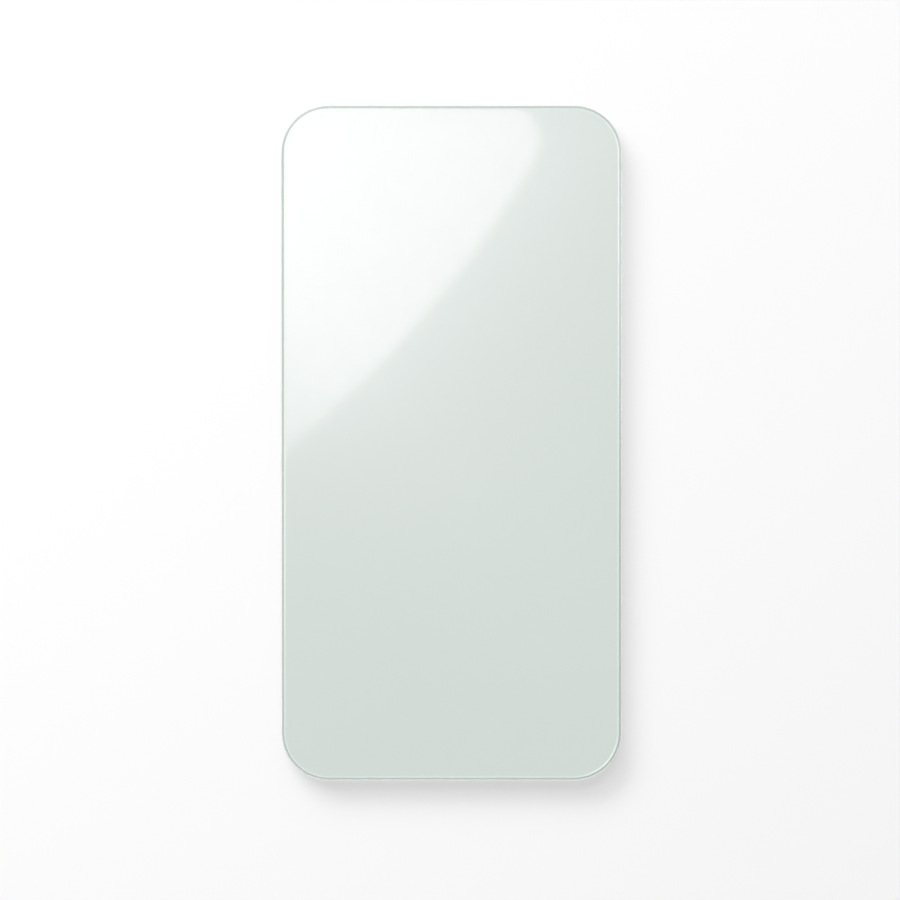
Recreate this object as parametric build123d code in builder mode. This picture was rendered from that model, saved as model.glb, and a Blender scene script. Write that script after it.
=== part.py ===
from build123d import *
import os

# Phone screen protector: one flat sheet of glass with rounded corners and a softly rounded upper edge.
# All sizes are millimetres. The origin is the middle of the underside, +X runs across the plate,
# +Y along it and +Z out of the face that is touched.

# Driving dimensions
plate_length = 142.0
plate_width = 71.6
plate_thickness = 0.33
corner_radius = 10.0
edge_run = 1.0  # how far the round of the upper edge reaches in from the rim
side_land = 0.09  # upright strip of the rim that the grinding leaves
underside_chamfer = 0.04  # broken lower edge, so that it doesn't cut or chip

# Worked out from them
half_width = plate_width / 2
half_length = plate_length / 2
land_top = underside_chamfer + side_land  # height at which the round meets the upright rim
wheel_outside = half_width + edge_run  # the cut stands out past the glass as far as it reaches in
wheel_top = plate_thickness + edge_run

with BuildPart() as glass_plate:
    # Blank: the outline cut from sheet glass, drawn round from the middle of the right-hand side
    with BuildSketch() as blank:
        with BuildLine() as rim:
            FilletPolyline(
                (half_width, 0),
                (half_width, half_length),
                (-half_width, half_length),
                (-half_width, -half_length),
                (half_width, -half_length),
                radius=(0, corner_radius, corner_radius, corner_radius, corner_radius),
                close=True,
            )
        make_face()
    extrude(amount=plate_thickness)

    # Lower edge: a small chamfer all round the underside
    chamfer(glass_plate.faces().sort_by(Axis.Z).first.edges(), length=underside_chamfer)

    # Upper edge: what is ground away all round, under an arc that leaves the face without a step
    # and falls to the upright rim
    with BuildSketch(Plane.XZ) as ground_away:
        with BuildLine():
            TangentArc(
                (half_width - edge_run, plate_thickness),
                (half_width, land_top),
                tangent=(1, 0),
            )
            Polyline(
                (half_width, land_top),
                (wheel_outside, land_top),
                (wheel_outside, wheel_top),
                (half_width - edge_run, wheel_top),
                (half_width - edge_run, plate_thickness),
            )
        make_face()
    sweep(path=rim.wire(), mode=Mode.SUBTRACT)

glass_plate.part.label = "glass_plate"

os.makedirs("parts", exist_ok=True)
export_step(glass_plate.part, "parts/glass_plate.step")
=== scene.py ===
# %% [markdown]
# # A phone screen protector
# The real thing is one sheet of hardened glass, a third of a millimetre thick, that lies on a phone's
# display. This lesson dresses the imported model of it: the sheet is modelled again with finer curves, its
# faces get a pale glass and its rim a ground one, and a small studio is built round it. Everything is in
# metres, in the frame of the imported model: the origin is the middle of the underside, +Y runs along the
# sheet and +Z points up out of the touched face.

import math

import bmesh
import bpy
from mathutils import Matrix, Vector


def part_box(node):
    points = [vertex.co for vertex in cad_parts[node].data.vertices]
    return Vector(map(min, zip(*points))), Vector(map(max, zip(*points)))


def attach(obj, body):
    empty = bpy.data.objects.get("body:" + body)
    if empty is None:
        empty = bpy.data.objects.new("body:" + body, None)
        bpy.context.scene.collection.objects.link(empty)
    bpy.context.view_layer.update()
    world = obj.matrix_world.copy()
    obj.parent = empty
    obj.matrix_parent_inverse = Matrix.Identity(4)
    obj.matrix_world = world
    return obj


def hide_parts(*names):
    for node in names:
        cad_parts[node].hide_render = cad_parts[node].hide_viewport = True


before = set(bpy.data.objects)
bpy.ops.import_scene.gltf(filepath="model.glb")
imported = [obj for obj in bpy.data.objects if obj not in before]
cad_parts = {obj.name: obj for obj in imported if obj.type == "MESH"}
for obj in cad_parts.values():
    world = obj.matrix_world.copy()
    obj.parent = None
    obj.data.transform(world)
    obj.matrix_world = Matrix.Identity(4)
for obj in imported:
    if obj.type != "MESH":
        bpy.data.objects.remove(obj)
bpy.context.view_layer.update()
low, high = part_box("glass_plate")
size = high - low
MM = 0.001
print("packed nodes:", sorted(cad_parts))
print("plate, mm:", [round(side / MM, 3) for side in size])

# %% [markdown]
# ## The sheet
# The faces are dead flat, so all the shape is in the outline and in the rim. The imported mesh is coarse
# there: its corners have few facets and its rounded edge only two or three. A polished edge shows every
# facet as a break in its highlight, so the sheet is modelled again. It could be a profile swept round the
# outline. A face with bevelled corners that is extruded, and then inset ring by ring, gives the same form
# with a handful of operators.

# %% Sizes of the sheet
CORNER_RADIUS = 10.0 * MM
CORNER_SEGMENTS = 40
EDGE_RUN = 1.0 * MM  # how far the rounded upper edge reaches in
SIDE_LAND = 0.09 * MM  # upright strip of the rim
UNDERSIDE_CHAMFER = 0.04 * MM
ARC_RINGS = 20
SUPPORT_RING = 0.4 * MM  # flat ring inside the arc, which keeps the shading of the face level
LIP_WIDTH = 0.1 * MM  # the clear lip at the very edge, seen from above

land_top = low.z + UNDERSIDE_CHAMFER + SIDE_LAND
edge_drop = high.z - land_top
arc_radius = (EDGE_RUN**2 + edge_drop**2) / (2 * edge_drop)
rim_slope = math.asin(EDGE_RUN / arc_radius)
print("edge arc, mm:", round(arc_radius / MM, 3), "slope at the rim:", round(math.degrees(rim_slope), 1))

# %% Outline and upright rim
sheet = bmesh.new()
bmesh.ops.create_grid(sheet, x_segments=1, y_segments=1, size=0.5)
bmesh.ops.scale(sheet, vec=(size.x, size.y, 1), verts=sheet.verts)
bmesh.ops.translate(sheet, vec=(0, 0, low.z + UNDERSIDE_CHAMFER), verts=sheet.verts)
bmesh.ops.bevel(
    sheet, geom=sheet.verts[:], offset=CORNER_RADIUS, affect="VERTICES",
    segments=CORNER_SEGMENTS, profile=0.5, material=-1,
)
extruded = bmesh.ops.extrude_face_region(sheet, geom=sheet.faces[:])
raised = [v for v in extruded["geom"] if isinstance(v, bmesh.types.BMVert)]
bmesh.ops.translate(sheet, vec=(0, 0, SIDE_LAND), verts=raised)
bmesh.ops.recalc_face_normals(sheet, faces=sheet.faces)
print("outline points:", len(raised), "faces:", len(sheet.faces))

# %% [markdown]
# The rounded edge is an arc that starts level with the face and is steepest at the rim. Each inset takes
# one step in and one step up along that arc. The steps are equal in slope, so that the facets turn the
# light evenly. Two level insets mark off the rim on the underside, because light that enters the rim
# leaves through it.

# %% Rounded upper edge and lower chamfer
top = max(sheet.faces, key=lambda face: face.calc_center_median().z)
underside = min(sheet.faces, key=lambda face: face.calc_center_median().z)
slopes = [rim_slope * step / ARC_RINGS for step in range(ARC_RINGS, -1, -1)]
for steep, gentle in zip(slopes, slopes[1:]):
    run = arc_radius * (math.sin(steep) - math.sin(gentle))
    rise = arc_radius * (math.cos(gentle) - math.cos(steep))
    bmesh.ops.inset_region(sheet, faces=[top], thickness=run, depth=rise, use_even_offset=True)
bmesh.ops.inset_region(sheet, faces=[top], thickness=SUPPORT_RING, depth=0, use_even_offset=True)
bmesh.ops.inset_region(
    sheet, faces=[underside], thickness=UNDERSIDE_CHAMFER, depth=UNDERSIDE_CHAMFER, use_even_offset=True,
)
for inner, outer in ((LIP_WIDTH, UNDERSIDE_CHAMFER), (EDGE_RUN, LIP_WIDTH)):
    bmesh.ops.inset_region(
        sheet, faces=[underside], thickness=inner - outer, depth=0, use_even_offset=True,
    )
print("faces of the sheet:", len(sheet.faces), "top, mm:", round(top.calc_center_median().z / MM, 4))

# %% [markdown]
# ## Zones of finish
# The faces are polished, and so are the inner part of the rounded edge and its outermost lip. The band
# between them and the upright rim are as the wheel left them: ground, so they scatter light. The band's
# darker colour is painted shade and the paler tint of the inner edge is painted light, and together they
# give the rim its three fine lines, light, dark and light. The chamfer below is frosted by the stone that
# broke the edge. Each face gets its finish from how far it lies inside the outline and which way it
# points, and each point keeps that distance as an attribute, so that a finish can follow the rim all
# round.

# %% Sort the faces into finishes
FINISHES = ["polished_glass", "edge_glass", "ground_glass", "lip_glass", "frosted_glass"]
GROUND_INNER = 0.545 * MM  # how far in the ground band ends
UPRIGHT = 0.1  # a face whose normal rises or falls less than this belongs to the upright rim
LEVEL_BELOW = -0.9  # one whose normal falls more than this is underside, and between the two is chamfer
SLACK = 0.001 * MM


def inside_outline(point):
    """Distance in from the outline of the sheet, seen from above."""
    across = abs(point.x) - (size.x / 2 - CORNER_RADIUS)
    along = abs(point.y) - (size.y / 2 - CORNER_RADIUS)
    if across > 0 and along > 0:
        return CORNER_RADIUS - math.hypot(across, along)
    return CORNER_RADIUS - max(across, along)


def finish_of(face):
    """The name of a face's finish."""
    inset = max(inside_outline(vert.co) for vert in face.verts)
    if inset > EDGE_RUN + SLACK:
        return "polished_glass"
    if LEVEL_BELOW < face.normal.z < -UPRIGHT:
        return "frosted_glass"
    upright = abs(face.normal.z) < UPRIGHT
    if upright or (face.normal.z > 0 and LIP_WIDTH < inset < GROUND_INNER):
        return "ground_glass"
    return "lip_glass" if inset < LIP_WIDTH + SLACK else "edge_glass"


from_rim = sheet.verts.layers.float.new("from_rim")
for vert in sheet.verts:
    vert[from_rim] = inside_outline(vert.co)
counts = [0] * len(FINISHES)
for face in sheet.faces:
    face.material_index = FINISHES.index(finish_of(face))
    face.smooth = True
    counts[face.material_index] += 1
print("faces per finish:", dict(zip(FINISHES, counts)))

# %% Make the object
SHARP_ANGLE = math.radians(20)
mesh = bpy.data.meshes.new("protector_glass")
sheet.to_mesh(mesh)
sheet.free()
mesh.set_sharp_from_angle(angle=SHARP_ANGLE)
plate = bpy.data.objects.new("protector_glass", mesh)
bpy.context.scene.collection.objects.link(plate)
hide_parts("glass_plate")
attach(plate, "root")
print("piece:", plate.name, "points:", len(mesh.vertices))

# %% [markdown]
# ## Glass
# Glass has no colour on its surface. What is seen is a reflection on top of what comes through, with a
# pale sage tint from the sheet itself. So the shader is all transmission, with the index of plain glass,
# and the tint is the base colour. A material is a tree of nodes, and a few helpers keep the building of
# such trees short.

# %% Node helpers
GLASS_INDEX = 1.5
NOISE_LOW = 0.3  # most of a noise lies between these two
NOISE_HIGH = 0.7


def add_node(tree, kind, inputs=None, **settings):
    """Adds a node, sets its properties, and fills or links its inputs."""
    node = tree.nodes.new(kind)
    for key, value in settings.items():
        setattr(node, key, value)
    for key, value in (inputs or {}).items():
        if isinstance(value, bpy.types.NodeSocket):
            tree.links.new(value, node.inputs[key])
        else:
            node.inputs[key].default_value = value
    return node


def object_place(tree):
    """The Object coordinates."""
    return add_node(tree, "ShaderNodeTexCoord").outputs["Object"]


def math_node(tree, operation, *values):
    """The result of one Math node."""
    return add_node(tree, "ShaderNodeMath", dict(enumerate(values)), operation=operation).outputs[0]


def vector_node(tree, operation, *vectors):
    """The outputs of one Vector Math node."""
    return add_node(tree, "ShaderNodeVectorMath", dict(enumerate(vectors)), operation=operation).outputs


def spread(tree, value, start, end, start_result, end_result, curve="LINEAR"):
    """Value from start to end becomes start_result to end_result, held at both ends."""
    inputs = {0: value, 1: start, 2: end, 3: start_result, 4: end_result}
    return add_node(tree, "ShaderNodeMapRange", inputs, interpolation_type=curve).outputs[0]


def noise(tree, place, scale, detail=2.0):
    """A noise with about scale patches in each unit of place."""
    inputs = {"Vector": place, "Scale": scale, "Detail": detail}
    return add_node(tree, "ShaderNodeTexNoise", inputs).outputs[0]


def vary(tree, pattern, least, most):
    """A noise spread over the values from least to most."""
    return spread(tree, pattern, NOISE_LOW, NOISE_HIGH, least, most)


def tint(tree, value, deep, light):
    """A colour between deep and light."""
    ramp = add_node(tree, "ShaderNodeValToRGB", {0: value})
    ramp.color_ramp.elements[0].color = (*deep, 1)
    ramp.color_ramp.elements[1].color = (*light, 1)
    return ramp.outputs[0]


def clear_glass(name):
    """A material of clear glass, with its tree, its shader's inputs and its coordinates."""
    material = bpy.data.materials.new(name)
    material.use_nodes = True
    tree = material.node_tree
    shader = tree.nodes["Principled BSDF"]
    shader.inputs["Transmission Weight"].default_value = 1.0
    shader.inputs["IOR"].default_value = GLASS_INDEX
    return material, tree, shader.inputs, object_place(tree)


print("index of the glass:", GLASS_INDEX)

# %% [markdown]
# No sheet is quite even. On the faces a slow noise shifts the tint by about one part in a hundred, a
# second one wipes the polish here and there, and a faint swell bends what the face mirrors.

# %% Polished faces
SAGE_DEEP = (0.678, 0.745, 0.707)
SAGE_LIGHT = (0.694, 0.761, 0.723)
TINT_PATCHES = 24.0  # patches to the metre, here and below
WIPE_PATCHES = 70.0
WIPE_DETAIL = 4.0
WIPE_STARTS = 0.35
FACE_ROUGHNESS = (0.012, 0.03)
SWELLS = 20.0
SWELL_HEIGHT = 0.4e-6


def polished_glass(name):
    """The two faces."""
    material, tree, shader, place = clear_glass(name)
    sage = tint(tree, noise(tree, place, TINT_PATCHES), SAGE_DEEP, SAGE_LIGHT)
    tree.links.new(sage, shader["Base Color"])
    wipes = noise(tree, place, WIPE_PATCHES, WIPE_DETAIL)
    tree.links.new(spread(tree, wipes, WIPE_STARTS, NOISE_HIGH, *FACE_ROUGHNESS), shader["Roughness"])
    swell = noise(tree, place, SWELLS)
    bent = add_node(tree, "ShaderNodeBump", {"Height": swell, "Distance": SWELL_HEIGHT})
    tree.links.new(bent.outputs[0], shader["Normal"])
    return material


print("tint of the faces:", SAGE_DEEP, "to", SAGE_LIGHT)

# %% [markdown]
# The rounded part of the edge looks lighter and a little greener than the faces, because light that has
# run along inside the sheet comes out there. That light is painted into the tint, which starts as that of
# the faces and lightens towards the rim. The lip and the frosted chamfer are so thin that they have hardly
# any tint.

# %% Edge, lip and chamfer
EDGE_DEEP = (0.686, 0.753, 0.715)
# painted light: the tint at the rim is paler, standing in for light that comes out of the edge
EDGE_PAINTED_GLOW = (0.79, 0.89, 0.835)
EDGE_UNEVEN = 0.05  # how far noise shifts the tint along that way
LIP_DEEP = (0.94, 0.97, 0.955)
LIP_LIGHT = (0.96, 0.985, 0.975)
RIM_PATCHES = 60.0
POLISH_PATCHES = 400.0
EDGE_ROUGHNESS = (0.04, 0.09)
FROST_ROUGHNESS = (0.9, 1.0)


def distance_from_rim(tree):
    """The distance that each point of the sheet keeps."""
    return add_node(tree, "ShaderNodeAttribute", attribute_name="from_rim").outputs["Fac"]


def edge_glass(name):
    """The inner part of the rounded edge."""
    material, tree, shader, place = clear_glass(name)
    # painted light: the tint lightens from that of the faces towards the rim
    towards_rim = spread(tree, distance_from_rim(tree), EDGE_RUN, GROUND_INNER, 0.0, 1 - EDGE_UNEVEN)
    uneven = vary(tree, noise(tree, place, RIM_PATCHES), -EDGE_UNEVEN, EDGE_UNEVEN)
    share = math_node(tree, "ADD", towards_rim, uneven)
    tree.links.new(tint(tree, share, EDGE_DEEP, EDGE_PAINTED_GLOW), shader["Base Color"])
    tree.links.new(vary(tree, noise(tree, place, POLISH_PATCHES), *EDGE_ROUGHNESS), shader["Roughness"])
    return material


def thin_glass(name, roughness):
    """Glass too thin to show much tint, between two roughnesses."""
    material, tree, shader, place = clear_glass(name)
    tree.links.new(tint(tree, noise(tree, place, RIM_PATCHES), LIP_DEEP, LIP_LIGHT), shader["Base Color"])
    tree.links.new(vary(tree, noise(tree, place, POLISH_PATCHES), *roughness), shader["Roughness"])
    return material


def lip_glass(name):
    """The outermost lip of the edge."""
    return thin_glass(name, EDGE_ROUGHNESS)


def frosted_glass(name):
    """The chamfer below."""
    return thin_glass(name, FROST_ROUGHNESS)


print("tint of the edge:", EDGE_DEEP, "to", EDGE_PAINTED_GLOW)

# %% [markdown]
# The ground band scatters most of the light that falls on it, so less of its shader is transmission, and
# its gloss is weak. Its colour is deeper than that of the faces, and that depth is painted shade, which
# draws the dark line of the rim. The wheel leaves fine lines that run along the rim. They could be drawn,
# but a noise that is squeezed across the rim and stretched along it looks less regular.

# %% Ground rim
# painted shade: the deep colours of the ground band draw the dark line of the rim
GROUND_SHADED_DEEP = (0.565, 0.62, 0.595)
GROUND_SHADED_PALE = (0.62, 0.675, 0.65)
GROUND_CLEAR = 0.3  # share of the light that goes through the ground band
GROUND_SHINE = 0.2  # level of its gloss, where plain glass has 0.5
GROUND_ROUGHNESS = (0.28, 0.45)
LINES_PER_METRE = 30000
LINE_BREAKS_PER_METRE = 250
LINE_DETAIL = 3.0
LINE_HEIGHT = 1.5e-6


def ground_glass(name):
    """The ground band and the upright rim."""
    material, tree, shader, place = clear_glass(name)
    sides = add_node(tree, "ShaderNodeSeparateXYZ", {0: place})
    across = math_node(tree, "ADD", distance_from_rim(tree), sides.outputs[2])
    lines_at = add_node(tree, "ShaderNodeCombineXYZ", {
        0: math_node(tree, "MULTIPLY", across, LINES_PER_METRE),
        1: math_node(tree, "MULTIPLY", sides.outputs[0], LINE_BREAKS_PER_METRE),
        2: math_node(tree, "MULTIPLY", sides.outputs[1], LINE_BREAKS_PER_METRE),
    })
    lines = noise(tree, lines_at.outputs[0], 1.0, LINE_DETAIL)
    tree.links.new(tint(tree, lines, GROUND_SHADED_DEEP, GROUND_SHADED_PALE), shader["Base Color"])
    tree.links.new(vary(tree, lines, *GROUND_ROUGHNESS), shader["Roughness"])
    shader["Transmission Weight"].default_value = GROUND_CLEAR
    shader["Specular IOR Level"].default_value = GROUND_SHINE
    marks = add_node(tree, "ShaderNodeBump", {"Height": lines, "Distance": LINE_HEIGHT})
    tree.links.new(marks.outputs[0], shader["Normal"])
    return material


print("wheel lines to the millimetre:", LINES_PER_METRE * MM)

# %% Put the finishes on
makers = (polished_glass, edge_glass, ground_glass, lip_glass, frosted_glass)
for make_finish, finish in zip(makers, FINISHES):
    plate.data.materials.append(make_finish(finish))
print("finishes:", [material.name for material in plate.data.materials])

# %% [markdown]
# ## Floor
# The sheet lies on a pale, matt floor, with the least gap that keeps the two surfaces apart for the
# renderer. The floor is lit like any other surface, so it takes the shadow. Through the glass, and
# mirrored in it, the floor is shown at one even level, because the renderer lets next to no lamp light
# through a clear solid. Far from the sheet the floor turns white, so that it meets the white surroundings
# without a line.

# %% Build the floor
FLOOR_GAP = 0.015 * MM
FLOOR_RADIUS = 4.0
FLOOR_COLOUR = (0.92, 0.92, 0.92, 1)
FLOOR_THROUGH_GLASS = 1.0
WHITE_STARTS = 0.14  # how far from the middle the floor starts to turn white
WHITE_FROM = 0.5


def stage_object(name, shape, place, material):
    """Links a bmesh as an object of the stage."""
    stage_mesh = bpy.data.meshes.new(name)
    shape.to_mesh(stage_mesh)
    shape.free()
    stage_mesh.materials.append(material)
    stage = bpy.data.objects.new(name, stage_mesh)
    stage.location = place
    bpy.context.scene.collection.objects.link(stage)
    return stage


def empty_material(name):
    """A material without nodes, and its tree."""
    material = bpy.data.materials.new(name)
    material.use_nodes = True
    material.node_tree.nodes.clear()
    return material, material.node_tree


def in_glass(tree):
    """One where a surface is seen through glass or mirrored in it, and nought elsewhere."""
    rays = add_node(tree, "ShaderNodeLightPath").outputs
    return math_node(tree, "MAXIMUM", rays["Is Transmission Ray"], rays["Is Glossy Ray"])


def floor_material():
    """Matt near the sheet, white far off, and even in the glass."""
    material, tree = empty_material("pale_floor")
    matt = add_node(tree, "ShaderNodeBsdfDiffuse", {"Color": FLOOR_COLOUR})
    white = add_node(tree, "ShaderNodeEmission", {"Strength": 1.0})
    even = add_node(tree, "ShaderNodeEmission", {"Strength": FLOOR_THROUGH_GLASS})
    away = vector_node(tree, "LENGTH", object_place(tree))["Value"]
    far = spread(tree, away, WHITE_STARTS, WHITE_FROM, 0.0, 1.0, "SMOOTHSTEP")
    ground = add_node(tree, "ShaderNodeMixShader", {0: far, 1: matt.outputs[0], 2: white.outputs[0]})
    shaders = {0: in_glass(tree), 1: ground.outputs[0], 2: even.outputs[0]}
    seen = add_node(tree, "ShaderNodeMixShader", shaders)
    add_node(tree, "ShaderNodeOutputMaterial", {"Surface": seen.outputs[0]})
    return material


disc = bmesh.new()
bmesh.ops.create_circle(disc, cap_ends=True, segments=96, radius=FLOOR_RADIUS)
floor = stage_object("floor", disc, (0, 0, low.z - FLOOR_GAP), floor_material())
print("floor at, mm:", round(floor.location.z / MM, 3))

# %% [markdown]
# ## Surroundings
# The room is white where the camera sees it. In the glass it is white near the horizon and dim overhead,
# as in a studio with a dark ceiling, because a sheet that mirrors an even white room looks like paper.
# Tall strip lights lean all round the room, so that the face shows a slanted band of light when it is
# seen from a low angle. They end well below the directions that the sheet mirrors when it is seen from
# above. The world's coordinate is a direction, whose height is nought at the horizon and one overhead.

# %% Strip lights round the room
STRIP_LIGHTS = 8
STRIP_TURN = math.radians(23)  # how far the foot of the first strip stands aside of +X
STRIP_LEAN = -1.2  # how far a strip leans round the room, in radians for each unit of height
STRIP_LEVEL = 1.5
STRIP_EDGE = (0.66, 0.86)  # where a strip starts and is full, as cosines that are one at its middle
STRIP_FOOT = (0.1, 0.42)  # heights between which the strips come up
STRIP_TOP = (0.52, 0.6)  # heights between which they end


def strip_lights(tree, direction):
    """The level of the strip lights."""
    bearing = math_node(tree, "ARCTAN2", direction.outputs[1], direction.outputs[0])
    height = direction.outputs[2]
    strip_at = math_node(tree, "MULTIPLY_ADD", height, STRIP_LEAN, STRIP_TURN)
    wave = math_node(tree, "MULTIPLY", math_node(tree, "SUBTRACT", bearing, strip_at), STRIP_LIGHTS)
    strip = spread(tree, math_node(tree, "COSINE", wave), *STRIP_EDGE, 0.0, STRIP_LEVEL, "SMOOTHSTEP")
    rising = spread(tree, height, *STRIP_FOOT, 0.0, 1.0, "SMOOTHSTEP")
    ending = spread(tree, height, *STRIP_TOP, 1.0, 0.0, "SMOOTHSTEP")
    return math_node(tree, "MULTIPLY", strip, math_node(tree, "MULTIPLY", rising, ending))


print("strip lights:", STRIP_LIGHTS)

# %% Light the room
ROOM_LIGHT = 0.3
OVERHEAD = 0.3
WALLS = (0.1, 0.45)  # heights between which the room turns from white to the overhead level

world = bpy.data.worlds.new("studio")
world.use_nodes = True
room = world.node_tree
room.nodes.clear()
outwards = add_node(room, "ShaderNodeTexCoord").outputs["Generated"]
direction = add_node(room, "ShaderNodeSeparateXYZ", {0: outwards})
walls = spread(room, direction.outputs[2], *WALLS, 1.0, OVERHEAD, "SMOOTHSTEP")
mirrored = math_node(room, "ADD", walls, strip_lights(room, direction))
seen_by_camera = add_node(room, "ShaderNodeLightPath").outputs["Is Camera Ray"]
lit = spread(room, seen_by_camera, 0.0, 1.0, ROOM_LIGHT, 1.0)
room_level = add_node(room, "ShaderNodeMix", {0: in_glass(room), 2: lit, 3: mirrored}, data_type="FLOAT")
sky = add_node(room, "ShaderNodeBackground", {"Strength": room_level.outputs[0]})
add_node(room, "ShaderNodeOutputWorld", {"Surface": sky.outputs[0]})
bpy.context.scene.world = world
print("room light:", ROOM_LIGHT, "overhead in the glass:", OVERHEAD)

# %% [markdown]
# ## Camera
# The sheet is seen from above, so the camera looks down with a long lens and the top of the picture is
# +Y. It stands less than a degree off the upright, towards +Y, which narrows the far end by a pixel. The
# picture is square, and its width at the sheet is what the sheet's length and share of the picture give.

# %% Look down
PICTURE = 900
SHEET_PIXELS = 674.7  # length of the sheet in the picture
MIDDLE_RIGHT = 1.5  # the sheet's middle lies this far right of the picture's middle, in pixels
MIDDLE_UP = 6.6
LEAN = math.radians(0.65)
LENS = 100
SENSOR = 36
pixel = size.y / SHEET_PIXELS
camera_height = pixel * PICTURE * LENS / SENSOR
camera = bpy.data.objects.new("camera", bpy.data.cameras.new("camera"))
camera.data.lens = LENS
camera.data.sensor_width = SENSOR
camera.data.clip_start = 0.01
looked_at = Vector((-MIDDLE_RIGHT * pixel, -MIDDLE_UP * pixel, high.z))
camera.location = looked_at + camera_height * Vector((0, math.sin(LEAN), math.cos(LEAN)))
camera.rotation_euler.x = -LEAN
bpy.context.scene.collection.objects.link(camera)
bpy.context.scene.camera = camera
bpy.context.scene.view_settings.view_transform = "Standard"
print("camera height, mm:", round(camera_height / MM, 1), "one pixel, mm:", round(pixel / MM, 4))

# %% [markdown]
# ## Softbox
# A large round diffuser hangs to the upper left and shows in the glass as a bright patch with a curved,
# feathered edge. A flat sheet is a plain mirror, so each point of that edge on the sheet tells where the
# edge of the diffuser hangs: the ray from the camera to the point goes on upwards with the same slope.
# The sizes below are those of the patch, in the plane of the sheet, and all of them grow by one stretch.

# %% Sizes of the softbox
PANEL_HEIGHT = 0.9
PATCH_MIDDLE = Vector((-0.1699, 0.1676))  # of the round edge
PATCH_RADIUS = 0.2162
FLAG_POINT = Vector((0.0155, 0.0706))  # on the straight edge
FLAG_TILT = math.radians(34.3)
EDGE_FEATHER = 0.0019
CORNER_SOFTNESS = 0.0075
GLOW_REACH = 0.038
GLOW_SPAN = 5  # how many reaches of the glow the panel has room for
HOT_DEPTH = 0.04  # how far in from its edge the cloth is brightest
DIM_TOWARDS = Vector((-1, -1)).normalized()  # the cloth is dimmer to the lower left
DIM_STARTS = -0.005
DIM_FROM = 0.05

stretch = 1 + PANEL_HEIGHT / camera_height
panel_middle = PATCH_MIDDLE * stretch - Vector(camera.location[:2]) * (stretch - 1)
print("patch to panel:", round(stretch, 3), "radius:", round(PATCH_RADIUS * stretch, 3))

# %% [markdown]
# The outline is a circle with one straight flag across its right-hand side, and a glow falls off round
# it. It could be cut from a mesh, but a level worked out from the distance past the edge has soft edges
# as well. The far part of the cloth fades, so that it doesn't fill the whole sheet with white when it is
# seen from the other side.

# %% Cloth of the softbox
RIM_LEVEL = 4.4
HOT_LEVEL = 5.8
GLOW_LEVEL = 2.15
DIM_SHARE = 0.5
FADE_STARTS = 0.42  # how far from above the sheet the cloth starts to fade
FADE_FROM = 0.75
FADE_SHARE = 0.15
CLOTH_COLOUR = (1.0, 0.845, 0.935, 1)


def past_edge(tree, place):
    """How far a point of the panel lies outside the circle or past the flag."""
    from_middle = vector_node(tree, "LENGTH", place)["Value"]
    past_circle = math_node(tree, "SUBTRACT", from_middle, PATCH_RADIUS * stretch)
    flag_side = Vector((math.cos(FLAG_TILT), math.sin(FLAG_TILT)))
    flag_at = (FLAG_POINT - PATCH_MIDDLE).dot(flag_side) * stretch
    towards = vector_node(tree, "DOT_PRODUCT", place, (*flag_side, 0))["Value"]
    past_flag = math_node(tree, "SUBTRACT", towards, flag_at)
    return math_node(tree, "SMOOTH_MAX", past_circle, past_flag, CORNER_SOFTNESS * stretch)


def cloth_level(tree, past):
    """The level of the cloth inside its edge, and of the glow outside."""
    feather = EDGE_FEATHER * stretch
    inside = spread(tree, past, feather, -feather, 0.0, 1.0, "SMOOTHSTEP")
    face = spread(tree, past, 0.0, -HOT_DEPTH * stretch, RIM_LEVEL, HOT_LEVEL)
    fall = math_node(tree, "MULTIPLY", math_node(tree, "MAXIMUM", past, 0.0), -1 / (GLOW_REACH * stretch))
    glow = math_node(tree, "MULTIPLY", math_node(tree, "EXPONENT", fall), GLOW_LEVEL)
    return add_node(tree, "ShaderNodeMix", {0: inside, 2: glow, 3: face}, data_type="FLOAT").outputs[0]


def softbox_material():
    """The cloth, dimmed to the lower left and faded far from the sheet."""
    material, tree = empty_material("softbox_front")
    place = object_place(tree)
    cloth = cloth_level(tree, past_edge(tree, place))
    down = vector_node(tree, "DOT_PRODUCT", place, (*DIM_TOWARDS / stretch, 0))["Value"]
    dim_at = PATCH_MIDDLE.dot(DIM_TOWARDS)
    dim = spread(tree, down, DIM_STARTS - dim_at, DIM_FROM - dim_at, 1.0, DIM_SHARE, "SMOOTHSTEP")
    from_sheet = vector_node(tree, "ADD", place, (*panel_middle, 0))["Vector"]
    away = vector_node(tree, "LENGTH", from_sheet)["Value"]
    fade = spread(tree, away, FADE_STARTS, FADE_FROM, 1.0, FADE_SHARE, "SMOOTHSTEP")
    level = math_node(tree, "MULTIPLY", math_node(tree, "MULTIPLY", cloth, dim), fade)
    light = add_node(tree, "ShaderNodeEmission", {"Color": CLOTH_COLOUR, "Strength": level})
    add_node(tree, "ShaderNodeOutputMaterial", {"Surface": light.outputs[0]})
    return material


print("levels of the cloth:", RIM_LEVEL, "to", HOT_LEVEL, "glow:", GLOW_LEVEL)


# %% Hang the softbox
def mirrored_only(panel):
    """Hides a panel from the camera and from matt surfaces, so that it shows in glass alone."""
    panel.visible_camera = False
    panel.visible_diffuse = False
    panel.visible_shadow = False


panel_radius = (PATCH_RADIUS + GLOW_SPAN * GLOW_REACH) * stretch
front = bmesh.new()
bmesh.ops.create_circle(front, cap_ends=True, segments=64, radius=panel_radius)
softbox = stage_object("softbox", front, (*panel_middle, high.z + PANEL_HEIGHT), softbox_material())
mirrored_only(softbox)
print("softbox hangs at:", [round(v, 3) for v in softbox.location])

# %% [markdown]
# Two small diffusers at the right are mirrored by the rounded edge and by hardly anything else: one makes
# the fine bright line along the upper right side, the other the glint round the lower right corner.

# %% Hang the rim lights
RIM_LIGHT_HEIGHT = 0.88  # just below the softbox's glow, which shows through them
RIM_LIGHTS = {  # middle, half width and half length in metres, level
    "side_strip": ((0.35, 0.12), (0.12, 0.16), 2.8),
    "corner_spot": ((0.215, -0.31), (0.175, 0.175), 5.5),
}


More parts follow.
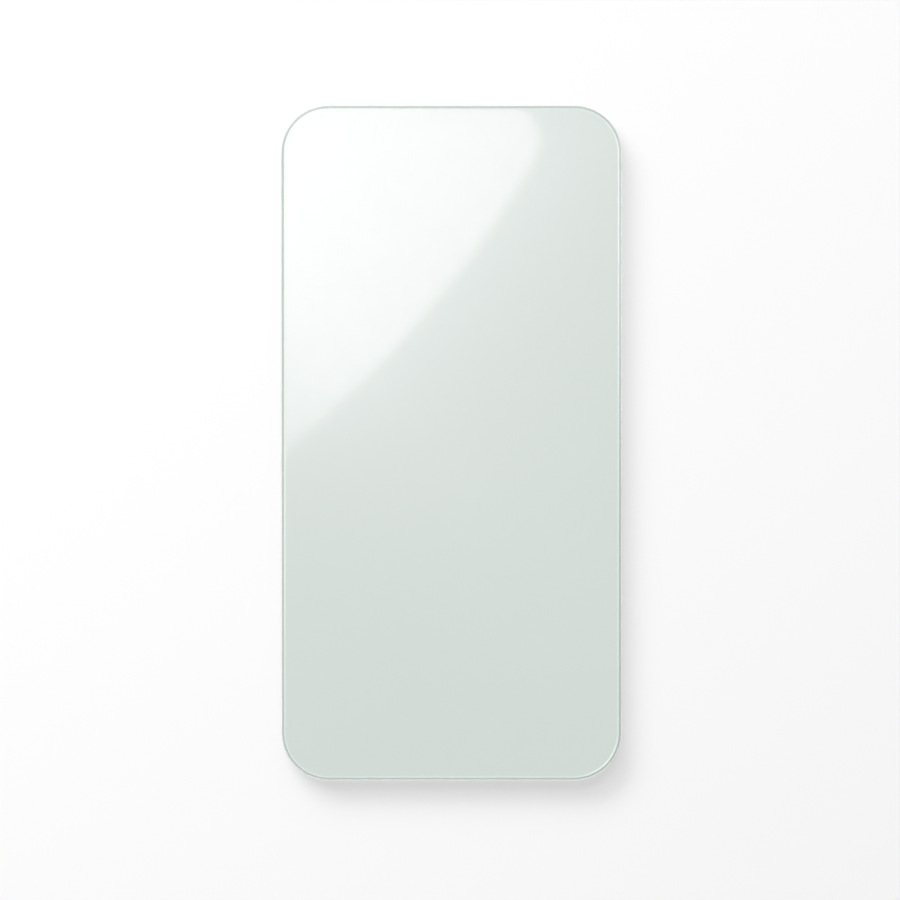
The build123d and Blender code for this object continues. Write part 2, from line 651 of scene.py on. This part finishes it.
def rim_light(name, middle, half_size, level):
    """An oval panel that fades towards its rim."""
    material, tree = empty_material(name)
    share = vector_node(tree, "DIVIDE", object_place(tree), (*half_size, 1))["Vector"]
    fade = spread(tree, vector_node(tree, "LENGTH", share)["Value"], 0.0, 1.0, level, 0.0, "SMOOTHSTEP")
    light = add_node(tree, "ShaderNodeEmission", {"Strength": fade})
    gauze = add_node(tree, "ShaderNodeBsdfTransparent")
    both = add_node(tree, "ShaderNodeAddShader", {0: gauze.outputs[0], 1: light.outputs[0]})
    add_node(tree, "ShaderNodeOutputMaterial", {"Surface": both.outputs[0]})
    oval = bmesh.new()
    bmesh.ops.create_circle(oval, cap_ends=True, segments=48, radius=1)
    bmesh.ops.scale(oval, vec=(*half_size, 1), verts=oval.verts)
    mirrored_only(stage_object(name, oval, (*middle, high.z + RIM_LIGHT_HEIGHT), material))


for name, settings in RIM_LIGHTS.items():
    rim_light(name, *settings)
print("rim lights:", list(RIM_LIGHTS))

# %% [markdown]
# ## Lamps
# The panels above show in the glass only, so the floor has lamps of its own, which the glass doesn't
# mirror. A broad lamp over the upper left gives most of the light and its slow fall towards the lower
# right. It throws no shadow, as clear glass hardly has one under a lamp overhead.

# %% Broad lamp
FILL_PLACE = Vector((-0.8, 0.8, 1.3))
FILL_SIZE = 1.0
FILL_POWER = 21.4


def hidden_lamp(name, place, travel, power):
    """An area lamp that shines along travel and that the glass doesn't mirror."""
    lamp = bpy.data.objects.new(name, bpy.data.lights.new(name, "AREA"))
    lamp.data.energy = power
    lamp.location = place
    lamp.rotation_mode = "QUATERNION"
    lamp.rotation_quaternion = travel.to_track_quat("-Z", "Y")
    lamp.visible_glossy = False
    lamp.visible_transmission = False
    bpy.context.scene.collection.objects.link(lamp)
    return lamp


fill = hidden_lamp("fill", FILL_PLACE, -FILL_PLACE, FILL_POWER)
fill.data.size = FILL_SIZE
fill.data.use_shadow = False
print("broad lamp at:", [round(v, 2) for v in fill.location])

# %% [markdown]
# The wide soft shadow on the right and at the bottom needs light that skims the floor, because the sheet
# is so thin. Suns would do, but each one draws the end of the shadow as a line. A long strip lamp, far
# off and very low, makes the shadow long with soft ends, and a higher one darkens it near the rim. Light
# linking limits both to the floor.

# %% Strip lamps
STRIP_DISTANCE = 8.0
STRIP_LAMPS = {  # turn, half fan, elevation and half rise in degrees, power
    "low_strip": (33, 23, 2.5, 0.9, 2800),
    "higher_strip": (17, 45, 4.2, 3.5, 2050),
}


def lit_alone(name, thing):
    """A collection that limits a lamp to one thing."""
    collection = bpy.data.collections.new(name)
    collection.objects.link(thing)
    return collection


def strip_width(half_angle):
    """How wide a strip lamp is that reaches half_angle degrees to both sides of its middle."""
    return 2 * STRIP_DISTANCE * math.tan(math.radians(half_angle))


def strip_lamp(name, turn, half_fan, elevation, half_rise, power):
    """A strip that shines turn degrees from straight down the picture towards the right."""
    aside = math.radians(turn)
    travel = Vector((math.sin(aside), -math.cos(aside), -math.tan(math.radians(elevation))))
    strip = hidden_lamp(name, -travel * STRIP_DISTANCE, travel, power)
    strip.data.shape = "RECTANGLE"
    strip.data.size = strip_width(half_fan)
    strip.data.size_y = strip_width(half_rise)
    strip.light_linking.receiver_collection = floor_lit


floor_lit = lit_alone("floor_lit", floor)
for name, settings in STRIP_LAMPS.items():
    strip_lamp(name, *settings)
print("strip lamps:", list(STRIP_LAMPS))

# %% [markdown]
# Three small lamps close to the sheet, one beyond each end and one at its upper right side, light the
# sheet alone. The flat faces don't scatter light, so only the ground rim turns paler there.

# %% Rim lamps
RIM_LAMP_SIZE = 0.02
RIM_LAMPS = {  # place, point of the rim that it is aimed at, power
    "right_rim_lamp": ((0.084, 0.045, 0.008), (high.x, 0.045, 0), 0.023),
    "top_rim_lamp": ((-0.015, 0.125, 0.006), (-0.015, high.y, 0), 0.018),
    "bottom_rim_lamp": ((0, -0.151, 0.006), (0, low.y, 0), 0.034),
}
rim_lit = lit_alone("rim_lit", plate)
for name, (place, aim, power) in RIM_LAMPS.items():
    rim_lamp = hidden_lamp(name, place, Vector(aim) - Vector(place), power)
    rim_lamp.data.size = RIM_LAMP_SIZE
    rim_lamp.light_linking.receiver_collection = rim_lit
print("rim lamps:", list(RIM_LAMPS))
